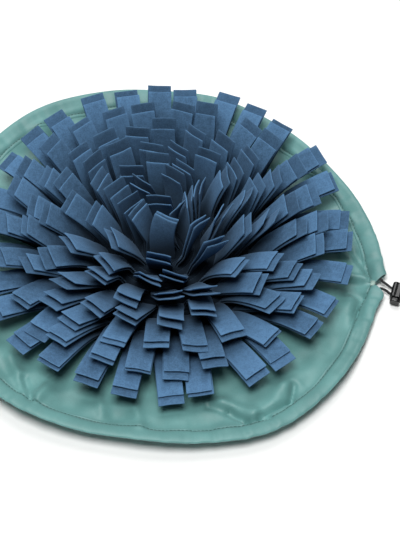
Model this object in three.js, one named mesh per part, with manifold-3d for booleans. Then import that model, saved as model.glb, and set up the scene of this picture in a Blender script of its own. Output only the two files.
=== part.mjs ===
// Snuffle bowl: a round cloth dish with a drawstring hem, filled with rings of felt strips.
// Millimetres, +Z up. The origin is the middle of the flat underside that rests on the floor.

import * as THREE from 'three';
import { mergeVertices } from 'three/addons/utils/BufferGeometryUtils.js';
import Module from 'manifold-3d';

const wasm = await Module();
wasm.setup();

const RADIAN = Math.PI / 180;

// Cloth dish: flat in the middle, rising to an uneven rim.
const CLOTH_THICKNESS = 1.4;
const FLAT_RADIUS = 150;
const RISE_POWER = 1.6;
const SLOPE_SHARES = [0, 0.3, 0.6, 0.85];
const HEM_WIDTH = 18;
const SHEET_INTO_HEM = 2;

// One row for each place around the rim that the outline was measured at.
const RIM = [
  { azimuth: 0, reach: 224, height: 11 },
  { azimuth: 16, reach: 215.5, height: 15 },
  { azimuth: 36, reach: 207.5, height: 19 },
  { azimuth: 60, reach: 208, height: 23 },
  { azimuth: 82, reach: 209, height: 25 },
  { azimuth: 104, reach: 217, height: 26 },
  { azimuth: 130, reach: 224, height: 27 },
  { azimuth: 155, reach: 224, height: 25 },
  { azimuth: 180, reach: 222, height: 23 },
  { azimuth: 205, reach: 222, height: 21 },
  { azimuth: 232, reach: 225, height: 19.5 },
  { azimuth: 250, reach: 220, height: 19 },
  { azimuth: 263, reach: 218, height: 18.4 },
  { azimuth: 282, reach: 225, height: 16.5 },
  { azimuth: 298, reach: 234, height: 14.5 },
  { azimuth: 316, reach: 231.5, height: 12.5 },
  { azimuth: 336, reach: 225.5, height: 10 },
  { azimuth: 350, reach: 224, height: 8.5 },
];

// Soft folds that run in from the rim: waves per turn, height and phase of each.
const FOLDS = [
  { waves: 6, height: 0.9, phase: 0.4 },
  { waves: 9, height: 1.1, phase: 2.1 },
  { waves: 13, height: 0.7, phase: 4.0 },
];

// Drawstring hem: a flat tube, open at both ends, which part in a notch beside the lock.
const NOTCH_AZIMUTH = -9.2;
const NOTCH_HALF = 0.5;
const NOTCH_SPREAD = 0.2;
const NOTCH_FROM = 5;
const BEAK_REACH = 7;
const BEAK_SPAN = 5;
const HEM_OUTSIDE = [
  [-1.5, -1.2], [3, -2.1], [7, -3.1], [15.5, -2.7], [18, 0],
  [15.5, 2.7], [7, 3.1], [3, 2.1], [-1.5, 1.2],
];
const HEM_INSIDE = [
  [5.5, 0], [7.5, -1.75], [14.5, -1.65], [16.4, 0], [14.5, 1.65], [7.5, 1.75],
];
const HEM_STEPS = 58;
const HEM_END_STEPS = [2.4, 5.4, 9.4];
const CORD_SEAT = 11;

// Felt: rings of doubled strips, the upper layer lying on the lower one, leaning further out on the outer
// rings and at the front.
const FLOWER_CENTRE = [4.5, 13];
const STRIP_WIDTHS = [24.4, 24];
const STRIP_THICKNESS = 1.5;
const STRIP_PITCH = 25.2;
const STRIP_STEPS = 20;
const STRIP_CUTS = [0, 4, 10, 20];
const CORNERS = [[-1, -1], [1, -1], [1, 1], [-1, 1]];
const ROOT_OFFSET = 1.3;
const LAYER_GAP = 2.3;
const LAYER_FAN = 1.5;
const LAYER_SLIDE = 1.5;
const LAYER_SHORTER = [7, 2];
const FORWARD_BOW = 0.05;
const ROOT_SHARE = 0.62;
const TIP_SHARE = 1.2;
const BAND_HALF_WIDTH = 7.7;
const BAND_BOTTOM = 1.8;
const BAND_TOP = 3.8;
const MIDDLE_SIDES = 12;
const MIDDLE_BANDS = [[1.2, 20.1], [20.9, 31.8]];

// Rings from the middle out: pairs of strips, mean lean from upright, how much further the strips lean at
// the front than that and less at the back, how far their tips drift to the left, how they turn like a
// whorl, strip length, how loosely they stand and where the ring's chance numbers start.
const RINGS = [
  { pairs: 3, lean: 10, sway: 6, drift: 0.08, spiral: -34, length: 62, loose: 6, start: 7 },
  { pairs: 6, lean: 24, sway: 19, drift: 0.08, spiral: -30, length: 66, loose: 5.5, start: 82 },
  { pairs: 10, lean: 30, sway: 20, drift: 0.05, spiral: -20, length: 68, loose: 5, start: 59 },
  { pairs: 14, lean: 34, sway: 23, drift: 0.03, spiral: -12, length: 70, loose: 4.7, start: 72 },
  { pairs: 18, lean: 38, sway: 23, drift: 0.02, spiral: -6, length: 72, loose: 4.3, start: 44 },
  { pairs: 22, lean: 43, sway: 21, drift: 0, spiral: -3, length: 73, loose: 3.6, start: 54 },
  { pairs: 26, lean: 51, sway: 17, drift: 0, spiral: 0, length: 75, loose: 3.2, start: 82 },
  { pairs: 30, lean: 64, sway: 11, drift: 0, spiral: 0, length: 76, loose: 2.1, start: 4 },
];

// Cord lock lying beside the notch, its cords running through it crossways.
const CORD_RADIUS = 1.3;
const CORD_STEPS = 30;
const LOCK_PLACE = [237, -44, 5.4];
const LOCK_TURN = -17;
const SHELL_FRONT = -7.2;
const SHELL_BACK = 11.2;
const SHELL_HALF_WIDTH = 6;
const SHELL_HALF_HEIGHT = 5;
const SHELL_EDGE = 0.8;
const GROOVE_DEPTH = 0.2;
const GROOVE_SPAN = 1.4;
const CAVITY_HALF_WIDTH = 3.7;
const CAVITY_HALF_HEIGHT = 2.9;
const CAVITY_END = 10.1;
const CORD_HOLES = [4.75, -2.25];
const HOLE_RADIUS = 1.75;
const FIT_GAP = 0.3;
const PRESS_TRAVEL = 2.5;
const BUTTON_END = 7.3;
const WINDOW_HALF_HEIGHT = 1.65;
const HEAD_THICKNESS = 2.6;
const HEAD_HALF_WIDTH = 4.8;
const HEAD_HALF_HEIGHT = 4.2;

// Knot that joins the two cord ends past the lock, placed from the lock.
const KNOT_PLACE = [56, 0.5, -1.2];
const KNOT_HALF_LENGTH = 5.2;
const KNOT_RADIUS = 4;
const KNOT_TAIL = 11;
const KNOT_SPACING = 2.1;
const SOCKET_DEPTH = 2.2;

const FELT = new THREE.MeshStandardMaterial({ color: 0x4a6a88, roughness: 0.95, metalness: 0 });
const CLOTH = new THREE.MeshStandardMaterial({ color: 0x7fb0ab, roughness: 0.7, metalness: 0 });
const CORD = new THREE.MeshStandardMaterial({ color: 0x17191b, roughness: 0.8, metalness: 0 });
const LOCK = new THREE.MeshStandardMaterial({ color: 0x111214, roughness: 0.3, metalness: 0 });

// Solids

function toSolid(geometry) {
  const plain = geometry.clone();
  plain.deleteAttribute('normal');
  plain.deleteAttribute('uv');
  const merged = mergeVertices(plain, 1e-4);
  return new wasm.Manifold(new wasm.Mesh({
    numProp: 3,
    vertProperties: new Float32Array(merged.attributes.position.array),
    triVerts: new Uint32Array(merged.index.array),
  }));
}

function toGeometry(solid) {
  const mesh = solid.getMesh();
  const geometry = new THREE.BufferGeometry();
  geometry.setAttribute('position', new THREE.BufferAttribute(new Float32Array(mesh.vertProperties), 3));
  geometry.setIndex(new THREE.BufferAttribute(new Uint32Array(mesh.triVerts), 1));
  return geometry;
}

function join(geometries) {
  return geometries.map(toSolid).reduce((whole, next) => whole.add(next));
}

function indexed(points, triangles) {
  const geometry = new THREE.BufferGeometry();
  geometry.setFromPoints(points);
  geometry.setIndex(triangles);
  return geometry;
}

// Quads between two equal rows of point numbers, the rows closing on themselves.
function band(lower, upper) {
  return lower.flatMap((a, i) => {
    const next = (i + 1) % lower.length;
    return [a, lower[next], upper[next], a, upper[next], upper[i]];
  });
}

function numbers(start, count) {
  return Array.from({ length: count }, (_, i) => start + i);
}

function named(name, geometry, material) {
  const mesh = new THREE.Mesh(geometry, material);
  mesh.name = name;
  return mesh;
}

// Cloth dish

// A smooth closed curve through one column of the rim table.
function aroundRim(column) {
  const count = RIM.length;
  const row = (i) => RIM[(i + count) % count];
  const angle = (i) => row(i).azimuth + 360 * Math.floor(i / count);
  const slope = (i) => (row(i + 1)[column] - row(i - 1)[column]) / (angle(i + 1) - angle(i - 1));
  return (azimuth) => {
    const turned = THREE.MathUtils.euclideanModulo(azimuth, 360);
    const i = RIM.findLastIndex((each) => each.azimuth <= turned);
    const width = angle(i + 1) - angle(i);
    const t = (turned - angle(i)) / width;
    const rise = t * t * (3 - 2 * t);
    return row(i)[column] * (1 - rise) + row(i + 1)[column] * rise
      + width * t * (1 - t) * (slope(i) * (1 - t) - slope(i + 1) * t);
  };
}

const rimReach = aroundRim('reach');
const rimHeight = aroundRim('height');

function reachAt(azimuth) {
  const away = THREE.MathUtils.euclideanModulo(azimuth - NOTCH_AZIMUTH + 180, 360) - 180;
  return rimReach(azimuth) + BEAK_REACH * Math.exp(-((away / BEAK_SPAN) ** 2));
}

function clothHeight(azimuth, radius) {
  const share = Math.max(0, (radius - FLAT_RADIUS) / (reachAt(azimuth) - FLAT_RADIUS));
  const fold = FOLDS.reduce(
    (sum, each) => sum + each.height * Math.sin(each.waves * azimuth * RADIAN + each.phase), 0);
  return CLOTH_THICKNESS / 2 + rimHeight(azimuth) * share ** RISE_POWER + fold * share ** 2;
}

function clothPoint(azimuth, radius, above) {
  return new THREE.Vector3(
    radius * Math.cos(azimuth * RADIAN),
    radius * Math.sin(azimuth * RADIAN),
    clothHeight(azimuth, radius) + above);
}

// Angles round the rim from one end of the hem to the other, closer together at the ends.
function rimAngles(halfGap) {
  const last = HEM_END_STEPS.at(-1);
  const middle = Array.from({ length: HEM_STEPS - 1 },
    (_, i) => last + (i + 1) * (360 - 2 * last) / HEM_STEPS);
  const inner = [...HEM_END_STEPS, ...middle, ...HEM_END_STEPS.map((step) => 360 - step).reverse()];
  return [halfGap, ...inner, 360 - halfGap].map((angle) => NOTCH_AZIMUTH + angle);
}

function dishSheet() {
  const angles = rimAngles(NOTCH_HALF);
  const count = angles.length;
  const points = [];
  const rows = [-1, 1].map((side) => {
    const above = side * CLOTH_THICKNESS / 2;
    points.push(new THREE.Vector3(0, 0, CLOTH_THICKNESS / 2 + above));
    const middle = points.length - 1;
    const rings = [...SLOPE_SHARES, 1].map((share) => {
      const start = points.length;
      angles.forEach((azimuth) => {
        const edge = reachAt(azimuth) - HEM_WIDTH + SHEET_INTO_HEM;
        points.push(clothPoint(azimuth, FLAT_RADIUS + share * (edge - FLAT_RADIUS), above));
      });
      return numbers(start, count);
    });
    return { middle, rings };
  });
  const triangles = [];
  rows.forEach(({ middle, rings }, side) => {
    const facing = side === 1 ? rings : rings.map((ring) => [...ring].reverse());
    facing[0].forEach((a, i) => triangles.push(middle, a, facing[0][(i + 1) % count]));
    facing.slice(1).forEach((ring, i) => triangles.push(...band(ring, facing[i])));
  });
  triangles.push(...band(rows[0].rings.at(-1), rows[1].rings.at(-1)));
  return indexed(points, triangles);
}

// The hem is swept round the rim: an outer and an inner wall, joined by a face at each end.
function hemTube() {
  const section = [...HEM_OUTSIDE, ...HEM_INSIDE];
  const outside = HEM_OUTSIDE.length;
  const tracks = section.map(([along]) =>
    rimAngles(NOTCH_HALF + NOTCH_SPREAD * Math.max(0, along - NOTCH_FROM)));
  const stations = tracks[0].length;
  const points = [];
  for (let station = 0; station < stations; station += 1) {
    section.forEach(([along, above], i) => {
      const azimuth = tracks[i][station];
      points.push(clothPoint(azimuth, reachAt(azimuth) - HEM_WIDTH + along, above));
    });
  }
  const triangles = [];
  for (let station = 1; station < stations; station += 1) {
    const start = station * section.length;
    const outer = numbers(start, outside);
    const inner = numbers(start + outside, HEM_INSIDE.length).reverse();
    triangles.push(...band(outer, outer.map((n) => n - section.length)));
    triangles.push(...band(inner, inner.map((n) => n - section.length)));
  }
  const flat = section.map(([along, above]) => new THREE.Vector2(along, above));
  const faces = THREE.ShapeUtils.triangulateShape(flat.slice(0, outside), [flat.slice(outside)]);
  const lastStart = (stations - 1) * section.length;
  faces.forEach(([a, b, c]) => {
    triangles.push(a, b, c);
    triangles.push(lastStart + a, lastStart + c, lastStart + b);
  });
  return indexed(points, triangles);
}

// Felt strips

function chance(number) {
  const value = Math.sin(number * 12.9898) * 43758.5453;
  return 2 * (value - Math.floor(value)) - 1;
}

// Neighbouring rings are set about half a strip apart at the front.
function firstTurn(order) {
  const share = 0.5 * order + (order > 0 ? 0.5 : 0) + 0.2 * chance(order + 3);
  return share * 2 * Math.PI / RINGS[order].pairs - Math.PI / 2;
}

// Corner points at the cuts along one strip. The lean grows from root to tip, slow waves round the
// ring sway the strips together, and chance sets each strip a little apart from its neighbours.
function stripCuts(order, layer, index) {
  const ring = RINGS[order];
  const rootRadius = ring.pairs * STRIP_PITCH / (2 * Math.PI) + ROOT_OFFSET;
  const turn = index * 2 * Math.PI / ring.pairs + firstTurn(order);
  const pair = index + ring.start;
  const both = (shift) => ring.loose * chance(pair + shift);
  const own = (shift) => chance(pair + 47 * layer + shift);
  const tilt = 1.8 * Math.sin(2 * turn + 0.15 * order + 0.6) + Math.sin(5 * turn + 0.2 * order)
    + 1.3 * both(0);
  const yaw = 5 * Math.sin(3 * turn + 0.6 * order) + 3 * Math.sin(7 * turn - 0.8 * order + 1)
    + 5 * both(0.31);
  const twist = ring.spiral + 5 * Math.sin(4 * turn + 0.7 * order + 2) + 3 * both(0.57);
  const shorter = LAYER_SHORTER[0] + LAYER_SHORTER[1] * Math.sin(turn);
  const length = ring.length - shorter * layer + 2.6 * own(0.83);
  const lean = ring.lean - ring.sway * Math.sin(turn) + tilt;
  const rootLean = ROOT_SHARE * lean;
  const tipLean = TIP_SHARE * lean;
  const out = new THREE.Vector3(Math.cos(turn), Math.sin(turn), 0);
  const side = new THREE.Vector3(-Math.sin(turn), Math.cos(turn), 0);
  const up = new THREE.Vector3(0, 0, 1);
  const centre = out.clone().multiplyScalar(rootRadius).addScaledVector(up, BAND_TOP);
  const cuts = [];
  let reach = 0;
  for (let step = 0; step <= STRIP_STEPS; step += 1) {
    const slant = (rootLean + (tipLean - rootLean) * (1 - (1 - reach) ** 2)) * RADIAN;
    const heading = yaw * RADIAN * THREE.MathUtils.smoothstep(reach, 0, 0.35);
    const level = out.clone().multiplyScalar(Math.cos(heading)).addScaledVector(side, Math.sin(heading));
    const along = level.multiplyScalar(Math.sin(slant)).addScaledVector(up, Math.cos(slant));
    along.x -= ring.drift * Math.min(1, 3 * reach);
    along.y -= FORWARD_BOW * Math.min(1, 3 * reach);
    along.normalize();
    const flat = side.clone().multiplyScalar(Math.cos(heading)).addScaledVector(out, -Math.sin(heading));
    const width = flat.addScaledVector(along, -flat.dot(along)).normalize();
    width.applyAxisAngle(along, twist * RADIAN * reach);
    const face = step === 0 ? out.clone().divideScalar(-Math.cos(slant)) : along.clone().cross(width);
    const lift = layer === 1 ? LAYER_GAP + LAYER_FAN * (1.4 + own(0.71)) * reach ** 2 : 0;
    const slide = layer === 1 ? LAYER_SLIDE * own(0.31) * reach : 0;
    if (STRIP_CUTS.includes(step)) {
      cuts.push(CORNERS.map(([across, through]) => centre.clone()
        .addScaledVector(width, slide + across * STRIP_WIDTHS[layer] / 2)
        .addScaledVector(face, lift + through * STRIP_THICKNESS / 2)));
    }
    // Long and short strips are cut at the same places up to half way, so a pair's layers keep apart.
    const pace = (step < STRIP_STEPS / 2 ? ring.length : 2 * length - ring.length) / STRIP_STEPS;
    centre.addScaledVector(along, pace);
    reach += pace / ring.length;
  }
  return cuts;
}

// The walls and the tip of a strip whose corner points start at the given number. Its two broad sides are
// split along the same diagonal, so a turned strip keeps its thickness.
function stripFaces(start) {
  const triangles = [];
  for (let cut = 1; cut < STRIP_CUTS.length; cut += 1) {
    const [a, b, c, d] = numbers(start + 4 * (cut - 1), 4);
    const [e, f, g, h] = numbers(start + 4 * cut, 4);
    triangles.push(a, b, f, a, f, e, b, c, g, b, g, f);
    triangles.push(c, d, g, d, h, g, d, a, e, d, e, h);
  }
  const tip = start + 4 * (STRIP_CUTS.length - 1);
  triangles.push(tip, tip + 1, tip + 2, tip, tip + 2, tip + 3);
  return triangles;
}

// A ring's heading band and the strips that grow out of its top face.
function feltRing(order) {
  const { pairs } = RINGS[order];
  const sides = Math.max(2 * pairs, MIDDLE_SIDES);
  const radius = pairs * STRIP_PITCH / (2 * Math.PI);
  const [inside, outside] = MIDDLE_BANDS[order]
    ?? [(radius - BAND_HALF_WIDTH) / Math.cos(Math.PI / sides), radius + BAND_HALF_WIDTH];
  const first = firstTurn(order) - Math.PI / pairs;
  const corners = (reach, height) => Array.from({ length: sides }, (_, i) => {
    const turn = first + i * 2 * Math.PI / sides;
    return new THREE.Vector3(reach * Math.cos(turn), reach * Math.sin(turn), height);
  });
  const points = [
    ...corners(outside, BAND_TOP), ...corners(inside, BAND_TOP),
    ...corners(outside, BAND_BOTTOM), ...corners(inside, BAND_BOTTOM),
  ];
  const [outTop, inTop, outBottom, inBottom] = [0, 1, 2, 3].map((row) => numbers(row * sides, sides));
  const triangles = [
    ...band(outBottom, outTop), ...band(inTop, inBottom), ...band(inBottom, outBottom),
  ];
  const roots = [];
  for (let index = 0; index < 2 * pairs; index += 1) {
    const start = points.length;
    points.push(...stripCuts(order, index % 2, Math.floor(index / 2)).flat());
    triangles.push(...stripFaces(start));
    roots.push(numbers(start, 4));
  }
  const rows = [outTop, inTop, ...roots];
  const flat = rows.map((row) => row.map((n) => new THREE.Vector2(points[n].x, points[n].y)));
  const all = rows.flat();
  THREE.ShapeUtils.triangulateShape(flat[0], flat.slice(1)).forEach((face) => {
    triangles.push(...face.map((n) => all[n]));
  });
  return indexed(points, triangles);
}

// Cord lock, in its own frame: its length along Y, the cords along X

// A rounded oblong, with an optional shallow groove along the middle of its top and bottom.
function oblong(halfWidth, halfHeight, groove) {
  const points = Array.from({ length: 24 }, (_, i) => {
    const angle = (i + 0.5) * 2 * Math.PI / 24;
    const soft = (value) => Math.sign(value) * Math.abs(value) ** 0.55;
    const x = halfWidth * soft(Math.cos(angle));
    const dip = 1 - groove * Math.exp(-((x / GROOVE_SPAN) ** 2));
    return new THREE.Vector2(x, halfHeight * soft(Math.sin(angle)) * dip);
  });
  return new THREE.Shape(points);
}

function roundedBar(shape, from, to, edge) {
  const geometry = new THREE.ExtrudeGeometry(shape, {
    depth: to - from - 2 * edge,
    bevelEnabled: true,
    bevelThickness: edge,
    bevelSize: edge,
    bevelOffset: -edge,
    bevelSegments: 2,
  });
  geometry.rotateX(Math.PI / 2);
  geometry.translate(0, to - edge, 0);
  return geometry;
}

function block(halfWidth, from, to, halfHeight) {
  const geometry = new THREE.BoxGeometry(2 * halfWidth, to - from, 2 * halfHeight);
  geometry.translate(0, (from + to) / 2, 0);
  return geometry;
}

function lockShell() {
  const outside = oblong(SHELL_HALF_WIDTH, SHELL_HALF_HEIGHT, GROOVE_DEPTH);
  let solid = toSolid(roundedBar(outside, SHELL_FRONT, SHELL_BACK, SHELL_EDGE));
  solid = solid.subtract(toSolid(block(CAVITY_HALF_WIDTH, SHELL_FRONT - 5, CAVITY_END, CAVITY_HALF_HEIGHT)));
  CORD_HOLES.forEach((place) => {
    const hole = new THREE.CylinderGeometry(HOLE_RADIUS, HOLE_RADIUS, 4 * SHELL_HALF_WIDTH, 12);
    hole.rotateZ(Math.PI / 2);
    hole.translate(0, place, 0);
    solid = solid.subtract(toSolid(hole));
  });
  return toGeometry(solid);
}

function lockButton() {
  const headBack = SHELL_FRONT - PRESS_TRAVEL - FIT_GAP;
  const head = oblong(HEAD_HALF_WIDTH, HEAD_HALF_HEIGHT, 0);
  const solid = join([
    block(CAVITY_HALF_WIDTH - FIT_GAP, headBack - 1, BUTTON_END, CAVITY_HALF_HEIGHT - FIT_GAP),
    roundedBar(head, headBack - HEAD_THICKNESS, headBack, SHELL_EDGE),
  ]);
  const from = CORD_HOLES[1] - WINDOW_HALF_HEIGHT - PRESS_TRAVEL;
  const to = CORD_HOLES[0] + WINDOW_HALF_HEIGHT;
  return toGeometry(solid.subtract(toSolid(block(2 * CAVITY_HALF_WIDTH, from, to, WINDOW_HALF_HEIGHT))));
}

// Cords and knot

function fromLock(x, y, z) {
  return new THREE.Vector3(x, y, z)
    .applyAxisAngle(new THREE.Vector3(0, 0, 1), LOCK_TURN * RADIAN)
    .add(new THREE.Vector3(...LOCK_PLACE));
}

// A cord comes out of the hem, bends into its hole in the lock and ends in the knot.
function cord(hemAngles, mouthAngle, side) {
  const hole = CORD_HOLES[side];
  const socket = (0.5 - side) * 2 * KNOT_SPACING;
  const [knotX, knotY, knotZ] = KNOT_PLACE;
  const knotFace = knotX - KNOT_HALF_LENGTH + SOCKET_DEPTH;
  const inHem = (azimuth, along, above) =>
    clothPoint(azimuth, reachAt(azimuth) - HEM_WIDTH + along, above);
  const points = [
    ...hemAngles.map((azimuth) => inHem(azimuth, CORD_SEAT, 0)),
    inHem(mouthAngle, CORD_SEAT + 0.6, 0.3 - 0.4 * side),
    fromLock(-10.5, hole + 1.4, 1),
    fromLock(-6.5, hole, 0.1),
    fromLock(0, hole, 0),
    fromLock(6.5, hole, 0),
    fromLock(11, hole + 0.4 - 0.8 * side, -0.6),
    fromLock(22, hole + 1.5 - 4 * side, -2.6),
    fromLock(36, hole + 1 - 3 * side, -3.4),
    fromLock(knotFace - 5, knotY + socket, knotZ - 0.4),
    fromLock(knotFace, knotY + socket, knotZ),
  ];
  const section = new THREE.Shape(Array.from({ length: 8 }, (_, i) => new THREE.Vector2(
    CORD_RADIUS * Math.cos((i + 0.5) * Math.PI / 4),
    CORD_RADIUS * Math.sin((i + 0.5) * Math.PI / 4))));
  return new THREE.ExtrudeGeometry(section, {
    steps: CORD_STEPS,
    extrudePath: new THREE.CatmullRomCurve3(points, false, 'centripetal'),
  });
}

function rod(radius, from, to, y, z) {
  const geometry = new THREE.CylinderGeometry(radius, radius, to - from, 8);
  geometry.rotateZ(Math.PI / 2);
  geometry.translate((from + to) / 2, y, z);
  return geometry;
}

function cordKnot() {
  const lump = new THREE.SphereGeometry(1, 12, 8);
  lump.scale(KNOT_HALF_LENGTH, KNOT_RADIUS + 0.6, KNOT_RADIUS);
  let solid = join([lump, ...[-1, 1].map((side) =>
    rod(CORD_RADIUS, 0, KNOT_TAIL + side, side * KNOT_SPACING, -0.6))]);
  [-1, 1].forEach((side) => {
    const socket = rod(CORD_RADIUS + 2.5 * FIT_GAP, -9, -KNOT_HALF_LENGTH + SOCKET_DEPTH + FIT_GAP,
      side * KNOT_SPACING, 0);
    solid = solid.subtract(toSolid(socket));
  });
  return toGeometry(solid);
}

// Scene

const bowl = new THREE.Group();
bowl.add(named('base_cloth', toGeometry(join([hemTube(), dishSheet()])), CLOTH));

const flower = new THREE.Group();
flower.position.set(FLOWER_CENTRE[0], FLOWER_CENTRE[1], 0);
RINGS.forEach((_, order) => flower.add(named(`felt_ring_${order + 1}`, feltRing(order), FELT)));
bowl.add(flower);

const lock = new THREE.Group();
lock.position.set(...LOCK_PLACE);
lock.rotation.z = LOCK_TURN * RADIAN;
lock.add(named('lock_shell', lockShell(), LOCK));
lock.add(named('lock_button', lockButton(), LOCK));
const knot = named('cord_knot', cordKnot(), CORD);
knot.position.set(...KNOT_PLACE);
lock.add(knot);
bowl.add(lock);

bowl.add(named('cord_back', cord([0, -3.3, -6.6], -7.9, 0), CORD));
bowl.add(named('cord_front', cord([-19, -15.5, -12.2], -10.4, 1), CORD));

export default bowl;
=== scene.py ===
"""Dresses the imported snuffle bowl: coated cloth dish, rings of felt strips, drawcord and cord lock."""

import math

import bpy
import numpy as np
from mathutils import Matrix


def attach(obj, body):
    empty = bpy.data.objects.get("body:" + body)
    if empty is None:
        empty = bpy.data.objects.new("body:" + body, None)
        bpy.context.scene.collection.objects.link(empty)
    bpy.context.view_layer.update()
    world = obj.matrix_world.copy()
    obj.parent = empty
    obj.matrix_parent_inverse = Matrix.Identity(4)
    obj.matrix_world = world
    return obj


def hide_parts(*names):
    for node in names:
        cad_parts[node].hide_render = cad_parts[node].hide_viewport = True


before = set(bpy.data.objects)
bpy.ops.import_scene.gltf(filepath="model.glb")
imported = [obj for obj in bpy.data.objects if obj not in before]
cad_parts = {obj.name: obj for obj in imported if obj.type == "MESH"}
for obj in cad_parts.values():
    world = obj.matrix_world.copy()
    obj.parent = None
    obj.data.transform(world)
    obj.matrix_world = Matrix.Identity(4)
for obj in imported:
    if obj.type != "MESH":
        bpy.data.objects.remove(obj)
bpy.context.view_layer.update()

bl_info = {
    "name": "Snuffle bowl",
    "version": (1, 0, 0),
    "blender": (4, 5, 0),
    "location": "3D View > Sidebar > Snuffle Bowl",
    "description": "Builds the cloth dish, felt strips, drawcord and cord lock on their solids",
    "category": "Object",
}

# Sizes are in millimetres, as in the solids, and are turned to metres where a mesh is made.
MM = 0.001
UP = np.array([0.0, 0.0, 1.0])

# Cloth dish: flat in the middle, then rising to its rim. The rim is azimuth, reach and height in each row.
FLAT_RADIUS = 150
FLAT_LEVEL = 0.7
RISE_POWER = 1.6
HEM_WIDTH = 18
SHEET_INTO_HEM = 2
SHEET_COLUMNS = 840
SHEET_ROWS = 33
FLAT_CIRCLES = [20.0, 60.0, 100.0, 130.0, 146.0]
RIM = np.array([
    (0, 224, 11), (16, 215.5, 15), (36, 207.5, 19), (60, 208, 23), (82, 209, 25), (104, 217, 26),
    (130, 224, 27), (155, 224, 25), (180, 222, 23), (205, 222, 21), (232, 225, 19.5), (250, 220, 19),
    (263, 218, 18.4), (282, 225, 16.5), (298, 234, 14.5), (316, 231.5, 12.5), (336, 225.5, 10),
    (350, 224, 8.5),
])

# Soft folds round the rim: waves, height and phase.
FOLDS = [(6, 0.9, 0.4), (9, 1.1, 2.1), (13, 0.7, 4.0)]

# Creases in the cloth's margin: a line from x, y to x, y, its half width, and its height or, below 0, depth.
# They and the billows start outside the felt and come in over a short width.
CREASED_FROM = 160
CREASED_WIDTH = 22
CREASES = [
    (198, 6, 210, -18, 5, -3.6), (210, -18, 212, -31, 4.5, -3), (190, 4, 206, -28, 7, 3.2),
    (188, -22, 210, -31, 4.5, 3.6), (188, -30, 209, -34, 4, -2.6), (192, -41, 202, -50, 5, -3),
    (202, -50, 200, -68, 6, -4.4), (200, -68, 195, -82, 6, -3.6), (190, -52, 188, -74, 8.5, 3.6),
    (204, -74, 197, -88, 3.5, -2.4), (131, -152, 128, -170, 3.2, -5.5), (128, -170, 98, -188, 3, -6),
    (120, -155, 112, -172, 9, 5.5), (50, -174, 70, -181, 4, -4.5), (70, -181, 86, -193, 3, -6),
    (86, -193, 107, -189, 3, -5.5), (64, -172, 92, -184, 7, 5), (-138, -122, -119, -165, 6, 5.4),
    (-124, -146, -115, -172, 4, -5.5), (-94, -140, -110, -172, 6, 5), (-18, -176, -13, -202, 6, 3.6),
    (-52, -165, -48, -186, 6, 3.6), (-160, -108, -184, -94, 7, 3.6), (-183, -24, -205, -14, 7, 3),
    (-180, 62, -200, 72, 7, 3), (-122, 150, -133, 172, 7, 3.4), (18, 184, 23, 204, 7, 2.6),
    (108, 150, 125, 168, 7, 3), (162, 95, 180, 106, 6, 3), (180, 42, 198, 46, 6, 2.8),
]

# Billows, the slack in the margin: turn for each millimetre across and along, height and phase.
BILLOWS = [(0.16, 0.05, 0.9, 1.2), (-0.07, 0.19, 0.8, 0.5), (0.12, -0.14, 0.7, 2.2)]

# Drawstring hem: its notch in degrees, and its section from the inner edge over the top and back below.
NOTCH_AZIMUTH = -9.2
NOTCH_HALF = 0.5
NOTCH_SPREAD = 0.2
NOTCH_FROM = 5
BEAK_REACH = 7
BEAK_SPAN = 5
HEM_STEPS = 720
HEM_END_STEP = 0.0006
HEM_SECTION = np.array([
    (-1.5, 0.75), (-1.3, 1.1), (-0.4, 1.3), (0.8, 1.1), (1.7, 0.55), (2.7, 1.3), (4.2, 2.2), (6.5, 2.85),
    (9, 3.15), (12, 3.1), (14.5, 2.75), (16.4, 2.05), (17.5, 1.1), (18, 0), (17.5, -1.1), (16.4, -2.05),
    (14.5, -2.7), (12, -3.05), (9, -3.1), (6.5, -2.8), (4.2, -2.1), (2.6, -1.4), (1.7, -1.05), (0.6, -1.1),
    (-1.5, -0.75),
])

# Puckers that the hem's seam draws up: waves round the rim, height and phase. They are stronger beside the
# notch, over so many degrees.
PUCKERS = [(59, 0.5, 0.4), (97, 0.35, 1.3), (151, 0.3, 2.1)]
PUCKER_SPAN = 13

# Trough that the cord's pull leaves inside the hem: its mean depth, its slow waves, its place and its width.
TROUGH_DEPTH = 1.7
TROUGH_WAVES = [(7, 0.9, 0.8), (11, 0.7, 2.6), (17, 0.5, 4.4)]
TROUGH_INSIDE = 7
TROUGH_WIDTH = 8

# Tucks along the hem's top: middle azimuth and span in degrees, and depth. Their line is at one place on
# the hem's width.
HEM_TUCKS = [(34, 17, 2.6), (118, 14, 1.8), (152, 11, 2.4), (210, 12, 1.5), (330, 9, 1.8)]
TUCK_PLACE = 8.5
TUCK_WIDTH = 2.4

# Mouth of the hem at the notch: the section made small round the cord, in rows that lie so many degrees in.
HEM_MIDDLE = 8.25
CHANNEL_MIDDLE = 10.9
CHANNEL_SHARE = 0.55
CHANNEL_DEPTHS = [6.5, 4.5, 2.6, 1.2, 0.35, 0.0]

# Stitching: the seam's place on the hem, its threads' height over and under it, and the bar at the notch.
SEAM_PLACE = 1.7
SEAM_RADIUS = 205
SEAM_HEIGHTS = [0.85, -1.25]
STITCH_SHARE = 0.78
STITCH_ARCH = 0.3
THREAD_RADIUS = 0.27
BAR_STITCHES = 9
BAR_HALF_SPAN = 0.9
BAR_PLACE = 3.4
BAR_HEIGHT = 2.2
BAR_LENGTH = 5.0

# The rim is paler over its last stretch, and the seam's groove is darkened with painted shade.
PALE_RIM_WIDTH = 2
SEAM_SHADE_WIDTH = 0.8

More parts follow.
